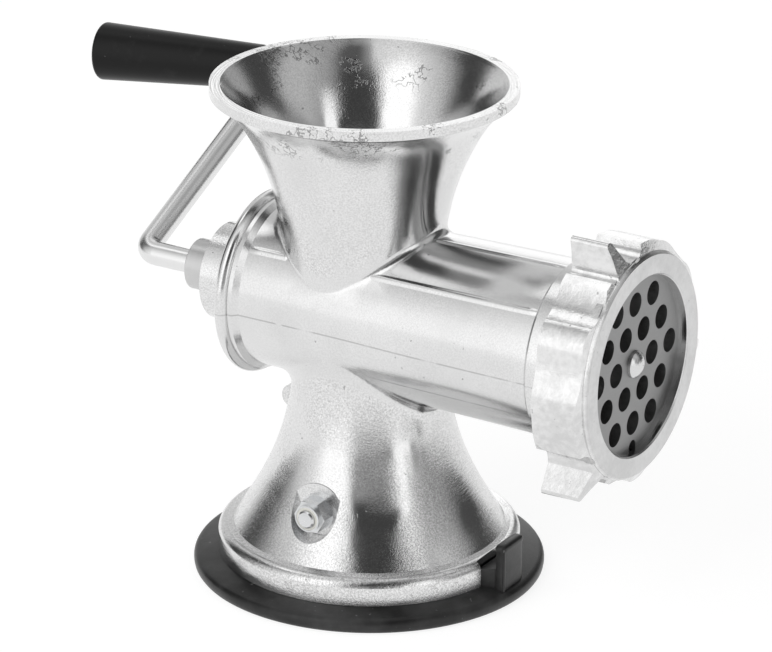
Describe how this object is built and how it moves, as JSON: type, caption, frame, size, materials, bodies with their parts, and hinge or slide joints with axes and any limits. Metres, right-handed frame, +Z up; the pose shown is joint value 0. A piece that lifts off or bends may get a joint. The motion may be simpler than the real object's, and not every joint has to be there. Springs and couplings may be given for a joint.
{
  "type": "hand crank grinder",
  "caption": "Hand crank grinder: round hopper, horizontal barrel, perforated plate under a lugged ring nut, bent crank with a turning grip, and a lever-worked suction base.",
  "frame": {"origin": "centre of the suction pad's underside, on the table", "axes": "+Z up, +X along the barrel towards the plate and ring nut, -Y towards the side with the lock nut"},
  "size_m": [0.2569, 0.1511, 0.1693],
  "materials": {
    "cast_aluminium": "polished casting with fine grain",
    "plate_steel": "ground satin steel",
    "chromed_steel": "chrome plated, slightly satin",
    "zinc_plated_steel": "bright zinc plated",
    "lever_aluminium": "tumbled die casting",
    "bronze": "plain turned",
    "nylon": "natural white, matte",
    "black_plastic": "satin black moulding",
    "black_rubber": "satin black moulded rubber"
  },
  "bodies": {
    "base": {"body_casting": "cast_aluminium", "rear_bush": "bronze", "thrust_washer": "nylon", "plate_key": "zinc_plated_steel", "rubber_suction_pad": "black_rubber", "pivot_bolt": "zinc_plated_steel", "nut_washer": "zinc_plated_steel", "lock_nut": "zinc_plated_steel", "lock_nut_insert": "nylon", "lever_washer": "zinc_plated_steel"},
    "crank": {"feed_screw": "cast_aluminium", "crank_collar": "chromed_steel", "collar_grub_screw": "zinc_plated_steel", "crank_rod": "chromed_steel", "cutter_knife": "plate_steel", "grip_retainer": "zinc_plated_steel"},
    "grip": {"grip": "black_plastic", "grip_end_cap": "black_plastic"},
    "plate": {"grinding_plate": "plate_steel"},
    "ring": {"ring_nut": "cast_aluminium"},
    "lever": {"suction_lever": "lever_aluminium", "cam_sleeve": "lever_aluminium"},
    "stem": {"suction_stem": "zinc_plated_steel", "stem_plate": "zinc_plated_steel"}
  },
  "joints": [
    {"name": "crank_spin", "type": "hinge", "parent": "base", "child": "crank", "pos_m": [0, 0, 0.0924], "axis": [1, 0, 0], "continuous": true},
    {"name": "grip_spin", "type": "hinge", "parent": "crank", "child": "grip", "pos_m": [-0.0876, 0.08639, 0.12996], "axis": [-0.9907, -0.1245, -0.0541], "continuous": true},
    {"name": "plate_slide", "type": "slide", "parent": "base", "child": "plate", "axis": [1, 0, 0], "range_m": [0, 0.0121]},
    {"name": "ring_turn", "type": "hinge", "parent": "plate", "child": "ring", "pos_m": [0.09, 0, 0.0924], "axis": [1, 0, 0], "range_deg": [0, 1440]},
    {"name": "lever_turn", "type": "hinge", "parent": "base", "child": "lever", "pos_m": [0, 0, 0.0304], "axis": [0, 1, 0], "range_deg": [0, 90]},
    {"name": "stem_lift", "type": "slide", "parent": "base", "child": "stem", "axis": [0, 0, 1], "range_m": [0, 0.00312], "deforming": ["rubber_suction_pad"]}
  ],
  "couplings": [
    {"joint": "plate_slide", "follows": "ring_turn", "m_per_rad": 0.00047746},
    {"joint": "stem_lift", "follows": "lever_turn", "m_per_rad": 0.0019806}
  ]
}
